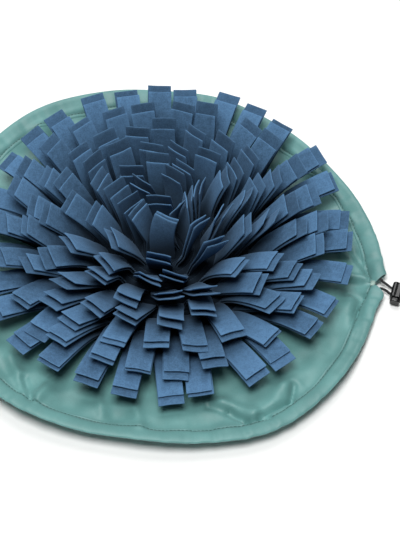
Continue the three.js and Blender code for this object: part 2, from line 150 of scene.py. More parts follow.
# Felt strips in pairs: layer 0 is a pair's outer strip, and layer 1 its inner one, shorter by a length that
# changes from the front to the back.
FLOWER_CENTRE = np.array([4.5, 13.0, 0.0])
STRIP_WIDTHS = [24.4, 24.0]
STRIP_PITCH = 25.2
STRIP_STEPS = 20
ROOT_OFFSET = 1.3
ROOT_LEAN = 0.62
TIP_LEAN = 1.2
LENGTH_SPREAD = 2.6
LAYER_SHORTER = [7, 2]
LAYER_GAP = 2.3
LAYER_FAN = 1.5
FORWARD_DRIFT = 0.05
BAND_HALF_WIDTH = 7.95
BAND_BOTTOM = 1.8
BAND_TOP = 3.8
BAND_EDGE = 0.5
MIDDLE_BANDS = [(1.2, 20.6), (20.7, 32.05)]

# Felt rings from the middle out: pairs of strips, lean, how much further they lean at the front than that
# and less at the back, drift to the left, turn like a whorl, length, looseness and the first chance number.
RINGS = [
    (3, 10, 6, 0.08, -34, 62, 6, 7),
    (6, 24, 19, 0.08, -30, 66, 5.5, 82),
    (10, 30, 20, 0.05, -20, 68, 5, 59),
    (14, 34, 23, 0.03, -12, 70, 4.7, 72),
    (18, 38, 23, 0.02, -6, 72, 4.3, 44),
    (22, 43, 21, 0, -3, 73, 3.6, 54),
    (26, 51, 17, 0, 0, 75, 3.2, 82),
    (30, 64, 11, 0, 0, 76, 2.1, 4),
]

# How far each ring's tips curl up: all round, and more at the front, where the middle ones stand. The outer
# rings lie close, so their tips also curl only half as far by chance.
TIP_LIFTS = [(1, 10), (1.8, 12), (4.3, 10), (3.1, 7), (3.2, 3), (3.1, 0), (1.3, 0), (-0.6, 0)]
CLOSE_RINGS_FROM = 5

# Half of a strip's section: places across as shares of the half width, and the thickness left there.
STRIP_ACROSS = np.array([-1, -0.95, -0.62, -0.22, 0.22, 0.62, 0.95, 1])
STRIP_THROUGH = np.array([0.45, 0.95, 1, 1, 1, 1, 0.95, 0.45])

# Cord lock and cords, placed from the lock.
LOCK_PLACE = np.array([237.0, -44.0, 5.4])
LOCK_TURN = math.radians(-17)
CORD_SEAT = 11
CORD_HOLES = [4.75, -2.25]
KNOT_PLACE = np.array([56.0, 0.5, -1.2])
KNOT_HALF_LENGTH = 5.2
KNOT_SPACING = 2.1
KNOT_TAIL = 11
SOCKET_DEPTH = 2.2
CORD_COLUMNS = 16
LOCK_COLUMNS = 64
HOLE_REACH = 12

# Cord lock's sections: half width and half height of its shell and hollow and of the button's head and stem,
# their places along the lock, the corner's power and the width of the groove.
SHELL_SIZE = 6.0, 5.0
SHELL_ENDS = -7.2, 11.2
HOLLOW_SIZE = 3.7, 2.9
HEAD_SIZE = 4.8, 4.2
HEAD_ENDS = -12.6, -10.0
STEM_SIZE = 3.4, 2.6
SOFT_CORNER = 0.55
GROOVE_WIDTH = 1.4

# Window through the button for the cords: its two ends, half height and half depth.
WINDOW = -6.4, 6.4, 1.65, 8

# Angles, in degrees, past which an edge stays crisp.
FELT_SHARP = 60
CLOTH_SHARP = 55
LOCK_SHARP = 40

# Each cord's azimuths inside the hem, at the hem's mouth and where it leaves the hem.
CORD_ENDS = [
    ("cord_back", (0, -3.3, -6.6), -7.9, -7.3),
    ("cord_front", (-19, -15.5, -12.2), -10.4, -11.4),
]

# Stage: the floor lies just under the dish, and each soft light has its place and size in metres.
FLOOR_HALF = 2500
FLOOR_LEVEL = -0.3
OVERHEAD_LIGHT = (-0.12, -0.45, 1.8), 0.8
BACK_LIGHT = (0.05, 0.9, 1.6), 1.1

# Camera: the photograph's viewing angle, distance and framing in metres, and its lens in millimetres.
PHOTO_ELEVATION = math.radians(53.29)
PHOTO_DISTANCE = 1.5
PHOTO_RIGHT = 0.0424
PHOTO_UP = -0.0056
PHOTO_LENS = 100.4


# Numbers and surfaces


def linear(code):
    """Linear light of an sRGB hex colour: each channel goes through the standard curve."""
    share = np.array([int(code[i:i + 2], 16) / 255 for i in (0, 2, 4)])
    light = np.where(share <= 0.04045, share / 12.92, ((share + 0.055) / 1.055) ** 2.4)
    return tuple(light.tolist())


def ease(share):
    """Soft step: 0 below 0, 1 above 1, and three squares less two cubes between."""
    held = np.clip(share, 0, 1)
    return held * held * (3 - 2 * held)


def bell(away, width):
    """Bell curve: 1 in the middle, then the exponential of minus the square of the distance in widths."""
    return np.exp(-(away / width) ** 2)


def wave_sum(turn, waves):
    """Sum of sines round a circle, each with its number of waves, its height and its phase."""
    return sum(height * np.sin(count * turn + phase) for count, height, phase in waves)


def circle_angles(count):
    """So many equal steps of angle round a circle."""
    return np.arange(count) * 2 * np.pi / count


def round_points(turn, radius, height):
    """Points round the upright axis: the cosine and sine of the angle times the radius, and the height."""
    return np.stack(np.broadcast_arrays(radius * np.cos(turn), radius * np.sin(turn), height), axis=-1)


def chance(number):
    """A fixed number from -1 to 1 for each input: the loose digits of a stretched sine."""
    value = np.sin(number * 12.9898) * 43758.5453
    return 2 * (value - np.floor(value)) - 1


def unit(vectors):
    """Vectors divided by their own length."""
    return vectors / np.linalg.norm(vectors, axis=-1, keepdims=True)


def row_quads(rows, columns):
    """Quads from each row of points to the row after it, where the columns close on themselves."""
    row, column = np.mgrid[0:rows, 0:columns]
    after = (column + 1) % columns
    corners = [row * columns + column, row * columns + after]
    corners += [(row + 1) * columns + after, (row + 1) * columns + column]
    return np.stack(corners, axis=-1).reshape(-1, 4)


def grid_faces(rows, columns, start=0):
    """Quads of a grid of rows whose columns close on themselves, with a many-sided face over each end."""
    quads = start + row_quads(rows - 1, columns)
    first = start + np.arange(columns)[::-1]
    last = start + (rows - 1) * columns + np.arange(columns)
    return quads.tolist() + [first.tolist(), last.tolist()]


def repeated_faces(count, rows, columns):
    """Faces of several like grids whose points follow each other."""
    firsts = range(0, count * rows * columns, rows * columns)
    return [face for first in firsts for face in grid_faces(rows, columns, first)]


def ring_faces(rows, columns):
    """Quads of a grid that closes on itself both ways: the row after the last is the first."""
    return (row_quads(rows, columns) % (rows * columns)).tolist()


def joined(parts):
    """Several grids as one: their points in a row, and their faces counted on from one to the next."""
    points = []
    faces = []
    count = 0
    for grid, corners in parts:
        points.append(np.reshape(grid, (-1, 3)))
        faces += [[count + corner for corner in face] for face in corners]
        count += len(points[-1])
    return np.concatenate(points), faces


def tube(path, radii, columns):
    """Rows of points round a path: a circle of its own radius, level across the path, at each point."""
    along = unit(np.gradient(path, axis=0))
    across = unit(np.cross(UP, along))
    over = np.cross(along, across)
    angle = circle_angles(columns)
    circle = np.cos(angle)[:, None] * across[:, None] + np.sin(angle)[:, None] * over[:, None]
    return path[:, None] + np.asarray(radii)[:, None, None] * circle


def braid_map(mesh, rows, columns, steps):
    """UV map of a tube's quads: turns round it along U and millimetres along it on V."""
    row, column = np.mgrid[0:rows - 1, 0:columns]
    u = np.stack([column, column + 1, column + 1, column], axis=-1) / columns
    v = np.stack([steps[row], steps[row], steps[row + 1], steps[row + 1]], axis=-1)
    values = np.zeros((len(mesh.loops), 2))
    values[:u.size, 0] = u.ravel()
    values[:v.size, 1] = v.ravel()
    mesh.uv_layers.new(name="braid").data.foreach_set("uv", values.ravel())


def add_piece(name, points, faces, material, sharp=None):
    """A smooth mesh object from points in millimetres; edges past the sharp angle stay crisp."""
    mesh = bpy.data.meshes.new(name)
    mesh.from_pydata((np.asarray(points).reshape(-1, 3) * MM).tolist(), [], faces)
    mesh.update()
    mesh.polygons.foreach_set("use_smooth", np.ones(len(mesh.polygons), dtype=bool))
    if sharp is not None:
        mesh.set_sharp_from_angle(angle=math.radians(sharp))
    mesh.materials.append(material)
    piece = bpy.data.objects.new(name, mesh)
    bpy.context.scene.collection.objects.link(piece)
    return piece


def add_value(piece, name, values):
    """A number for each point of a piece, which its material reads."""
    layer = piece.data.attributes.new(name, "FLOAT", "POINT")
    layer.data.foreach_set("value", np.asarray(values, dtype=np.float32).ravel())


def cut_away(piece, cutters, sharp):
    """Takes the cutters out of a piece and deletes them, so the piece keeps a plain mesh."""
    for cutter in cutters:
        cut = piece.modifiers.new("cut", "BOOLEAN")
        cut.operation = "DIFFERENCE"
        cut.solver = "EXACT"
        cut.object = cutter
    graph = bpy.context.evaluated_depsgraph_get()
    mesh = bpy.data.meshes.new_from_object(piece.evaluated_get(graph))
    piece.modifiers.clear()
    before = piece.data
    piece.data = mesh
    bpy.data.meshes.remove(before)
    mesh.name = piece.name
    mesh.set_sharp_from_angle(angle=math.radians(sharp))
    for cutter in cutters:
        bpy.data.meshes.remove(cutter.data)


def dress(piece, body, slot, *nodes):
    """Rides a piece on its body and hides the solids that it stands for; slot is not used."""
    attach(piece, body)
    if nodes:
        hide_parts(*nodes)


# Materials


def add_node(tree, kind, inputs, **settings):
    """Adds a node with its settings; inputs gives each socket a value or another node's output."""
    made = tree.nodes.new(kind)
    for name, value in settings.items():
        setattr(made, name, value)
    for name, value in inputs.items():
        if isinstance(value, bpy.types.NodeSocket):
            tree.links.new(value, made.inputs[name])
        else:
            made.inputs[name].default_value = value
    return made


def shaded(colour, share):
    """A colour times a share, no brighter than white, as a socket takes it."""
    return (*(min(1, share * channel) for channel in colour), 1)


def start_material(name, **sockets):
    """A material with one surface shader whose plain sockets are set; gives its tree and shader too."""
    material = bpy.data.materials.new(name)
    material.use_nodes = True
    tree = material.node_tree
    tree.nodes.clear()
    inputs = {key.replace("_", " "): value for key, value in sockets.items()}
    shader = add_node(tree, "ShaderNodeBsdfPrincipled", inputs)
    add_node(tree, "ShaderNodeOutputMaterial", {"Surface": shader.outputs["BSDF"]})
    return material, tree, shader


def felt_material(colour):
    """Needled polyester felt: cut fibres lie in a matt, faintly mottled nap; cut edges get a painted
    highlight and roots painted shade.
    """
    material, tree, shader = start_material(
        "needled_felt", Roughness=0.95, Specular_IOR_Level=0.15,
        Sheen_Weight=0.15, Sheen_Roughness=0.6, Sheen_Tint=shaded(linear("a0c8f3"), 1))
    place = add_node(tree, "ShaderNodeTexCoord", {})
    tone = add_node(tree, "ShaderNodeAttribute", {}, attribute_name="tone")
    edge = add_node(tree, "ShaderNodeAttribute", {}, attribute_name="edge")
    depth = add_node(tree, "ShaderNodeAttribute", {}, attribute_name="depth")
    # Clumps of fibre are about 5 mm across, and tufts are drawn 1.5 mm wide so that they show.
    clumps = add_node(tree, "ShaderNodeTexNoise", {
        "Vector": place.outputs["Object"], "Scale": 1 / (5 * MM), "Detail": 3.0, "Roughness": 0.6})
    fibres = add_node(tree, "ShaderNodeTexNoise", {
        "Vector": place.outputs["Object"], "Scale": 1 / (1.5 * MM), "Detail": 4.0, "Roughness": 0.75})
    mottle = add_node(tree, "ShaderNodeMath", {
        0: clumps.outputs["Fac"], 1: 0.5, 2: fibres.outputs["Fac"]}, operation="MULTIPLY_ADD")
    lift = add_node(tree, "ShaderNodeMath", {
        0: tone.outputs["Fac"], 1: 0.15, 2: mottle.outputs[0]}, operation="MULTIPLY_ADD")
    # Painted highlight: cut edges are made lighter by their edge value.
    mottle_and_edge_highlight = add_node(tree, "ShaderNodeMath", {
        0: edge.outputs["Fac"], 1: 0.3, 2: lift.outputs[0]}, operation="MULTIPLY_ADD")
    shade = add_node(tree, "ShaderNodeMapRange", {
        "Value": mottle_and_edge_highlight.outputs[0], "From Min": 0.5, "From Max": 1.0, "To Min": 0.0, "To Max": 1.0})
    mix = add_node(tree, "ShaderNodeMix", {
        "Factor": shade.outputs[0],
        6: shaded(colour, 0.66), 7: shaded(colour, 1.36)}, data_type="RGBA")
    # Painted shade: by its depth value the felt is darker towards its roots, in a pair's outer strip and on
    # the heading bands.
    deep = add_node(tree, "ShaderNodeMix", {
        "Factor": depth.outputs["Fac"], 6: mix.outputs[2],
        7: shaded(colour, 0.05)}, data_type="RGBA")
    tree.links.new(deep.outputs[2], shader.inputs["Base Color"])
    bump = add_node(tree, "ShaderNodeBump", {
        "Strength": 0.7, "Distance": 0.35 * MM, "Height": fibres.outputs["Fac"]})
    tree.links.new(bump.outputs["Normal"], shader.inputs["Normal"])
    return material


def cloth_material(colour):
    """Plain-weave polyester with a thin coating: a fine thread grid, soft gloss and slight clouding."""
    material, tree, shader = start_material(
        "coated_polyester", Sheen_Weight=0.15, Sheen_Roughness=0.4, Specular_IOR_Level=0.5)
    place = add_node(tree, "ShaderNodeTexCoord", {})
    spot = add_node(tree, "ShaderNodeSeparateXYZ", {"Vector": place.outputs["Object"]})
    # Threads are really about 0.4 mm apart and are drawn 1.6 mm apart so that they show.
    turns = 2 * math.pi / (1.6 * MM)
    waves = []
    for axis in (0, 1):
        run = add_node(tree, "ShaderNodeMath", {0: spot.outputs[axis], 1: turns}, operation="MULTIPLY")
        waves.append(add_node(tree, "ShaderNodeMath", {0: run.outputs[0]}, operation="SINE"))
    weave = add_node(tree, "ShaderNodeMath", {
        0: waves[0].outputs[0], 1: waves[1].outputs[0]}, operation="MULTIPLY")
    cloud = add_node(tree, "ShaderNodeTexNoise", {
        "Vector": place.outputs["Object"], "Scale": 1 / (45 * MM), "Detail": 3.0, "Roughness": 0.55})
    grain = add_node(tree, "ShaderNodeTexNoise", {
        "Vector": place.outputs["Object"], "Scale": 1 / (1.2 * MM), "Detail": 2.0, "Roughness": 0.6})
    # The rim is made paler, and the seam's groove gets painted shade.
    pale_rim_seam_shade_value = add_node(tree, "ShaderNodeAttribute", {}, attribute_name="pale_rim_seam_shade")
    base = add_node(tree, "ShaderNodeMath", {
        0: grain.outputs["Fac"], 1: 0.35, 2: cloud.outputs["Fac"]}, operation="MULTIPLY_ADD")
    lift = add_node(tree, "ShaderNodeMath", {
        0: pale_rim_seam_shade_value.outputs["Fac"], 1: 0.3, 2: base.outputs[0]}, operation="MULTIPLY_ADD")
    mix = add_node(tree, "ShaderNodeMix", {
        "Factor": lift.outputs[0],
        6: shaded(colour, 0.55), 7: shaded(colour, 1.25)}, data_type="RGBA")
    tree.links.new(mix.outputs[2], shader.inputs["Base Color"])
    rough = add_node(tree, "ShaderNodeMapRange", {
        "Value": base.outputs[0], "From Min": 0.3, "From Max": 1.0, "To Min": 0.43, "To Max": 0.58})
    tree.links.new(rough.outputs[0], shader.inputs["Roughness"])
    relief = add_node(tree, "ShaderNodeMath", {
        0: grain.outputs["Fac"], 1: 0.8, 2: weave.outputs[0]}, operation="MULTIPLY_ADD")
    bump = add_node(tree, "ShaderNodeBump", {
        "Strength": 0.25, "Distance": 0.08 * MM, "Height": relief.outputs[0]})
    tree.links.new(bump.outputs["Normal"], shader.inputs["Normal"])
    return material


def thread_material(colour, bar_colour):
    """Spun polyester sewing thread: matt, with the twist of its plies as fine slanting bands."""
    material, tree, shader = start_material("sewing_thread", Roughness=0.85, Sheen_Weight=0.05)
    place = add_node(tree, "ShaderNodeTexCoord", {})
    # The twist repeats every 0.7 mm.
    plies = add_node(tree, "ShaderNodeTexWave", {
        "Vector": place.outputs["Object"], "Scale": 1 / (0.7 * MM) / 20, "Distortion": 1.5,
    }, bands_direction="DIAGONAL")
    mix = add_node(tree, "ShaderNodeMix", {
        "Factor": plies.outputs["Fac"],
        6: shaded(colour, 0.75), 7: shaded(colour, 1.15)}, data_type="RGBA")
    bar = add_node(tree, "ShaderNodeAttribute", {}, attribute_name="bar")
    both = add_node(tree, "ShaderNodeMix", {
        "Factor": bar.outputs["Fac"], 6: mix.outputs[2], 7: shaded(bar_colour, 1)}, data_type="RGBA")
    tree.links.new(both.outputs[2], shader.inputs["Base Color"])
    return material


def cord_material(colour):
    """Elastic core in a braided polyester sleeve: crossed slanting strands with a low matt sheen."""
    material, tree, shader = start_material(
        "braided_elastic", Roughness=0.62, Sheen_Weight=0.3, Sheen_Roughness=0.5, Specular_IOR_Level=0.3)
    braid = add_node(tree, "ShaderNodeUVMap", {}, uv_map="braid")
    spot = add_node(tree, "ShaderNodeSeparateXYZ", {"Vector": braid.outputs["UV"]})
    # Eight strands each way, each turning once round the cord in 8 mm.
    turns = add_node(tree, "ShaderNodeMath", {0: spot.outputs[0], 1: 8.0}, operation="MULTIPLY")
    waves = []
    for lay in (1.0, -1.0):
        slant = add_node(tree, "ShaderNodeMath", {
            0: spot.outputs[1], 1: lay, 2: turns.outputs[0]}, operation="MULTIPLY_ADD")
        angle = add_node(tree, "ShaderNodeMath", {
            0: slant.outputs[0], 1: 2 * math.pi}, operation="MULTIPLY")
        waves.append(add_node(tree, "ShaderNodeMath", {0: angle.outputs[0]}, operation="SINE"))
    weave = add_node(tree, "ShaderNodeMath", {
        0: waves[0].outputs[0], 1: waves[1].outputs[0]}, operation="MAXIMUM")
    shade = add_node(tree, "ShaderNodeMapRange", {
        "Value": weave.outputs[0], "From Min": -0.8, "From Max": 1.0, "To Min": 0.0, "To Max": 1.0})
    mix = add_node(tree, "ShaderNodeMix", {
        "Factor": shade.outputs[0],
        6: shaded(colour, 0.45), 7: shaded(colour, 1.7)}, data_type="RGBA")
    tree.links.new(mix.outputs[2], shader.inputs["Base Color"])
    bump = add_node(tree, "ShaderNodeBump", {
        "Strength": 0.8, "Distance": 0.15 * MM, "Height": weave.outputs[0]})
    tree.links.new(bump.outputs["Normal"], shader.inputs["Normal"])
    return material


def plastic_material(colour):
    """Injection-moulded acetal, dyed black: glossy, with slow flow ripple and fine handling scuffs."""
    material, tree, shader = start_material("moulded_acetal", IOR=1.48, Specular_IOR_Level=0.5)
    place = add_node(tree, "ShaderNodeTexCoord", {})
    # Flow ripple is about 4 mm long and scuffs are about 0.6 mm across.
    ripple = add_node(tree, "ShaderNodeTexNoise", {
        "Vector": place.outputs["Object"], "Scale": 1 / (4 * MM), "Detail": 1.0})
    scuffs = add_node(tree, "ShaderNodeTexNoise", {
        "Vector": place.outputs["Object"], "Scale": 1 / (0.6 * MM), "Detail": 3.0, "Roughness": 0.7})
    rough = add_node(tree, "ShaderNodeMapRange", {
        "Value": scuffs.outputs["Fac"], "From Min": 0.35, "From Max": 0.75, "To Min": 0.16, "To Max": 0.34})
    tree.links.new(rough.outputs[0], shader.inputs["Roughness"])
    mix = add_node(tree, "ShaderNodeMix", {
        "Factor": scuffs.outputs["Fac"],
        6: shaded(colour, 0.8), 7: shaded(colour, 1.3)}, data_type="RGBA")
    tree.links.new(mix.outputs[2], shader.inputs["Base Color"])
    bump = add_node(tree, "ShaderNodeBump", {
        "Strength": 0.12, "Distance": 0.1 * MM, "Height": ripple.outputs["Fac"]})
    tree.links.new(bump.outputs["Normal"], shader.inputs["Normal"])
    return material


def floor_material(colour):
    """Matt painted studio board: pale and even, with a trace of roller texture."""
    material, tree, shader = start_material("painted_board", Roughness=0.9, Specular_IOR_Level=0.1)
    place = add_node(tree, "ShaderNodeTexCoord", {})
    # Roller texture is about 6 mm across.
    paint = add_node(tree, "ShaderNodeTexNoise", {
        "Vector": place.outputs["Object"], "Scale": 1 / (6 * MM), "Detail": 2.0})
    mix = add_node(tree, "ShaderNodeMix", {
        "Factor": paint.outputs["Fac"],
        6: shaded(colour, 0.985), 7: shaded(colour, 1)}, data_type="RGBA")
    tree.links.new(mix.outputs[2], shader.inputs["Base Color"])
    return material


# Cloth dish


def around_rim(column, azimuth):
    """Smooth closed curve through one column of the rim table: a cubic between neighbouring rows."""
    angles = RIM[:, 0]
    values = RIM[:, column]
    ahead = np.roll(values, -1)
    widths = np.mod(np.roll(angles, -1) - angles, 360)
    slopes = (ahead - np.roll(values, 1)) / (widths + np.roll(widths, 1))
    turned = np.mod(azimuth, 360)
    row = np.searchsorted(angles, turned, side="right") - 1
    share = (turned - angles[row]) / widths[row]
    rise = share * share * (3 - 2 * share)
    bend = slopes[row] * (1 - share) - np.roll(slopes, -1)[row] * share
    return values[row] * (1 - rise) + ahead[row] * rise + widths[row] * share * (1 - share) * bend


def degrees_from(middle, azimuth):
    """Degrees from a middle azimuth, from -180 to 180."""
    return np.mod(azimuth - middle + 180, 360) - 180


def reach_at(azimuth):
    """Rim radius: the measured outline plus a bell-shaped beak at the notch."""
    return around_rim(1, azimuth) + BEAK_REACH * bell(degrees_from(NOTCH_AZIMUTH, azimuth), BEAK_SPAN)


def crease_relief(x, y):
    """Sum of soft billows and creases, none of them under the felt.

    The billows are slow waves that cross. A crease falls off as a bell with the distance from its line.
    """
    total = sum(height * np.sin(across * x + along * y + phase)
                for across, along, height, phase in BILLOWS)
    for x0, y0, x1, y1, width, height in CREASES:
        run = np.array([x1 - x0, y1 - y0])
        share = np.clip(((x - x0) * run[0] + (y - y0) * run[1]) / (run @ run), 0, 1)
        away = np.hypot(x - x0 - share * run[0], y - y0 - share * run[1])
        total += height * bell(away, width)
    return total * ease((np.hypot(x, y) - CREASED_FROM) / CREASED_WIDTH)


def pucker(azimuth):
    """Uneven short waves that the hem's stitching draws up, stronger beside the notch."""
    turn = np.radians(azimuth)
    near_notch = bell(degrees_from(NOTCH_AZIMUTH, azimuth), PUCKER_SPAN)
    return wave_sum(turn, PUCKERS) * (0.75 + 0.35 * np.sin(5 * turn + 1) + 1.5 * near_notch)


def hem_trough(turn):
    """Depth of the trough that the cord's pull leaves inside the hem: slow uneven waves round the rim."""
    return TROUGH_DEPTH + wave_sum(turn, TROUGH_WAVES)


def hem_tuck(azimuth):
    """Depth of the tucks that run along the hem: a bell round the middle of each, as far as it spans."""
    return sum(deep * bell(degrees_from(middle, azimuth), span) for middle, span, deep in HEM_TUCKS)


def cloth_level(azimuth, radius):
    """Share of the way from the flat to the rim, and the height: a power of the share, and slow folds."""
    turn = np.radians(azimuth)
    share = np.maximum(0, (radius - FLAT_RADIUS) / (reach_at(azimuth) - FLAT_RADIUS))
    rise = around_rim(2, azimuth) * share ** RISE_POWER
    return share, FLAT_LEVEL + rise + wave_sum(turn, FOLDS) * share ** 2


def cloth_points(azimuth, radius, above):
    """Points over the cloth's middle layer: its level, what the seam draws up or down, and the creases.

    The trough is a bell, deepest a little inside the hem. The creases fade out over the hem's inner half,
    where the cord fills it.
    """
    azimuth, radius, above = np.broadcast_arrays(azimuth, radius, above)
    turn = np.radians(azimuth)
    x = radius * np.cos(turn)
    y = radius * np.sin(turn)
    share, level = cloth_level(azimuth, radius)
    drawn = 0.45 * pucker(azimuth) * ease((share - 0.45) / 0.3)
    inward = reach_at(azimuth) - HEM_WIDTH - radius
    drawn = drawn - hem_trough(turn) * bell(inward - TROUGH_INSIDE, TROUGH_WIDTH)
    creased = crease_relief(x, y) * (1 - ease(-inward / (HEM_WIDTH / 2)))
    return np.stack([x, y, np.maximum(0, level + above + drawn + creased)], axis=-1)


def in_hem(azimuth, along, above):
    """Points of the hem: so far along its width from its inner edge, and so far above its middle."""
    return cloth_points(azimuth, reach_at(azimuth) - HEM_WIDTH + along, above)


def plain_hem(azimuth, along, above):
    """Points of the hem without creases and puckers, where the cord runs."""
    radius = reach_at(azimuth) - HEM_WIDTH + along
    return round_points(np.radians(azimuth), radius, cloth_level(azimuth, radius)[1] + above)


def hem_turns(share, along):
    """Azimuths from one end of the hem to the other; the ends part more towards the rim."""
    gap = NOTCH_HALF + NOTCH_SPREAD * np.maximum(0, along - NOTCH_FROM)
    return NOTCH_AZIMUTH + gap + share * (360 - 2 * gap)


def dish_sheet(thickness):
    """Disc grid: out along the underside, over the edge and back in over the top, with a pole each side."""
    columns = SHEET_COLUMNS
    azimuth = np.arange(columns) * 360 / columns
    inner = np.array(FLAT_CIRCLES)
    shares = np.linspace(0, 1, SHEET_ROWS)
    edge = reach_at(azimuth) - HEM_WIDTH + SHEET_INTO_HEM
    outer = FLAT_RADIUS + shares[:, None] * (edge - FLAT_RADIUS)
    radii = np.vstack([np.repeat(inner[:, None], columns, axis=1), outer])
    below = cloth_points(azimuth, radii, -thickness / 2)
    over = cloth_points(azimuth, radii, thickness / 2)
    over[..., 2] = np.maximum(over[..., 2], below[..., 2] + 0.8 * thickness)
    grid = np.concatenate([below, over[::-1]])
    rows = len(grid)
    quads = grid_faces(rows, columns)[:-2]
    poles = rows * columns
    ring = np.arange(columns)
    after = (ring + 1) % columns
    last = (rows - 1) * columns
    fans = np.concatenate([
        np.stack([np.full(columns, poles), after, ring], axis=-1),
        np.stack([last + ring, last + after, np.full(columns, poles + 1)], axis=-1)])
    points = np.vstack([grid.reshape(-1, 3), [(0, 0, 0), (0, 0, thickness)]])
    return points, quads + fans.tolist()


def hem_rows(shares, section, depth):
    """Loops of a hem section at shares of the way round, or at a depth in degrees in from the ends."""
    along, above = section[:, 0], section[:, 1]
    azimuth = hem_turns(np.asarray(shares)[:, None], along) + np.asarray(depth)[:, None]
    drawn = pucker(azimuth)
    tucked = hem_tuck(azimuth) * bell(along - TUCK_PLACE, TUCK_WIDTH) * (above > 0)
    along = along - 0.3 * drawn * along / HEM_WIDTH
    return in_hem(azimuth, along, above * (1 + 0.13 * drawn) - tucked)


def hem_tube():
    """Sweep of the hem section round the rim, turned in at both open ends as a channel for the cord."""
    channel = (HEM_SECTION - (HEM_MIDDLE, 0.0)) * CHANNEL_SHARE + (CHANNEL_MIDDLE, 0.0)
    depths = np.array(CHANNEL_DEPTHS)
    steps = np.linspace(0, 1, HEM_STEPS)[1:-1]
    shares = np.concatenate([[0, HEM_END_STEP], steps, [1 - HEM_END_STEP, 1]])
    return np.concatenate([
        hem_rows(np.zeros(len(depths)), channel, depths),
        hem_rows(shares, HEM_SECTION, np.zeros(len(shares))),
        hem_rows(np.ones(len(depths)), channel, -depths[::-1])])


def stitches(azimuth, above, length, lie, turn=0.0):
    """Short thread tubes, one at each azimuth: a flattened arch along the seam, or turned from it."""
    rows, columns = 6, 5
    share = np.linspace(-1, 1, rows)
    run = share * length / 2
    arch = (STITCH_ARCH if above > 0 else -STITCH_ARCH) * (1 - share ** 2)
    spread = THREAD_RADIUS * (1 - 0.45 * share ** 2)
    angle = circle_angles(columns)
    middle = in_hem(azimuth, lie, above)
    step = 0.2
    ahead = unit(in_hem(azimuth + step, lie, above) - in_hem(azimuth - step, lie, above))
    out = in_hem(azimuth, lie + 0.5, above) - in_hem(azimuth, lie - 0.5, above)
    normal = unit(np.cross(out, ahead))
    out = np.cross(ahead, normal)
    along = ahead * np.cos(turn) + out * np.sin(turn)
    across = out * np.cos(turn) - ahead * np.sin(turn)
    centre = middle[:, None] + along[:, None] * run[:, None] + normal[:, None] * arch[:, None]
    circle = np.cos(angle)[:, None] * across[:, None] + np.sin(angle)[:, None] * normal[:, None]
    points = centre[:, :, None] + spread[:, None, None] * circle[:, None]
    # Threads under the hem lie flat on the floor where the cloth does.
    points[..., 2] = np.maximum(points[..., 2], 0)
    return points, repeated_faces(len(azimuth), rows, columns)


# Felt strips


def first_turn(order):
    """Where a ring starts: neighbouring rings are about half a strip apart at the front."""
    share = 0.5 * order + (0.5 if order else 0) + 0.2 * chance(order + 3)
    return share * 2 * np.pi / RINGS[order][0] - np.pi / 2


def strip_lines(order, layer):
    """Centre lines and directions of one layer of strips.

    Each line starts steep on its band and leans further out towards its tip. Slow waves round the ring sway
    the strips together, and chance sets each one a little apart from its neighbours.
    """
    pairs, mean_lean, sway, drift, spiral, ring_length, loose, first = RINGS[order]
    root = pairs * STRIP_PITCH / (2 * np.pi) + ROOT_OFFSET
    turn = circle_angles(pairs) + first_turn(order)
    start = np.arange(pairs) + first
    both = [loose * chance(start + shift) for shift in (0, 0.31, 0.57)]
    own = [chance(start + 47 * layer + shift) for shift in (0.31, 0.57, 0.83, 0.71)]
    tilt = 1.8 * np.sin(2 * turn + 0.15 * order + 0.6) + np.sin(5 * turn + 0.2 * order) + 1.3 * both[0]
    yaw = 5 * np.sin(3 * turn + 0.6 * order) + 3 * np.sin(7 * turn - 0.8 * order + 1) + 5 * both[1]
    twist = spiral + 5 * np.sin(4 * turn + 0.7 * order + 2) + 3 * both[2]
    shorter = LAYER_SHORTER[0] + LAYER_SHORTER[1] * np.sin(turn)
    length = ring_length - shorter * layer + LENGTH_SPREAD * own[2]
    lean = (mean_lean - sway * np.sin(turn) + tilt)[:, None]
    out = round_points(turn, 1, 0)[:, None]
    side = np.cross(UP, out)
    share = np.arange(STRIP_STEPS + 1) / STRIP_STEPS
    reach = share * (length / ring_length)[:, None]
    further = (TIP_LEAN * lean - ROOT_LEAN * lean) * (1 - (1 - reach) ** 2)
    slant = np.radians(ROOT_LEAN * lean + further)[..., None]
    heading = (np.radians(yaw)[:, None] * ease(reach / 0.35))[..., None]
    along = (out * np.cos(heading) + side * np.sin(heading)) * np.sin(slant) + UP * np.cos(slant)
    early = np.minimum(1, 3 * reach)
    along[..., 0] -= drift * early
    along[..., 1] -= FORWARD_DRIFT * early
    along = unit(along)
    flat = side * np.cos(heading) - out * np.sin(heading)
    width = unit(flat - along * np.sum(flat * along, axis=-1, keepdims=True))
    limp = 1.8 * loose * chance(start + 0.37) + 0.2 * loose * chance(start + 0.37 + layer)
    turned = np.radians(twist[:, None] * reach + limp[:, None] * reach ** 2)[..., None]
    width = width * np.cos(turned) + np.cross(along, width) * np.sin(turned)
    face = np.cross(along, width)
    steps = along * (length / STRIP_STEPS)[:, None, None]
    centre = out * root + UP * BAND_TOP + np.cumsum(steps, axis=1) - steps
    if layer == 1:
        lift = LAYER_GAP + LAYER_FAN * (1.4 + own[3])[:, None] * reach ** 2
        centre = centre + face * lift[..., None] + width * (1.5 * own[0][:, None] * reach)[..., None]
    return centre, width, face, turn, start


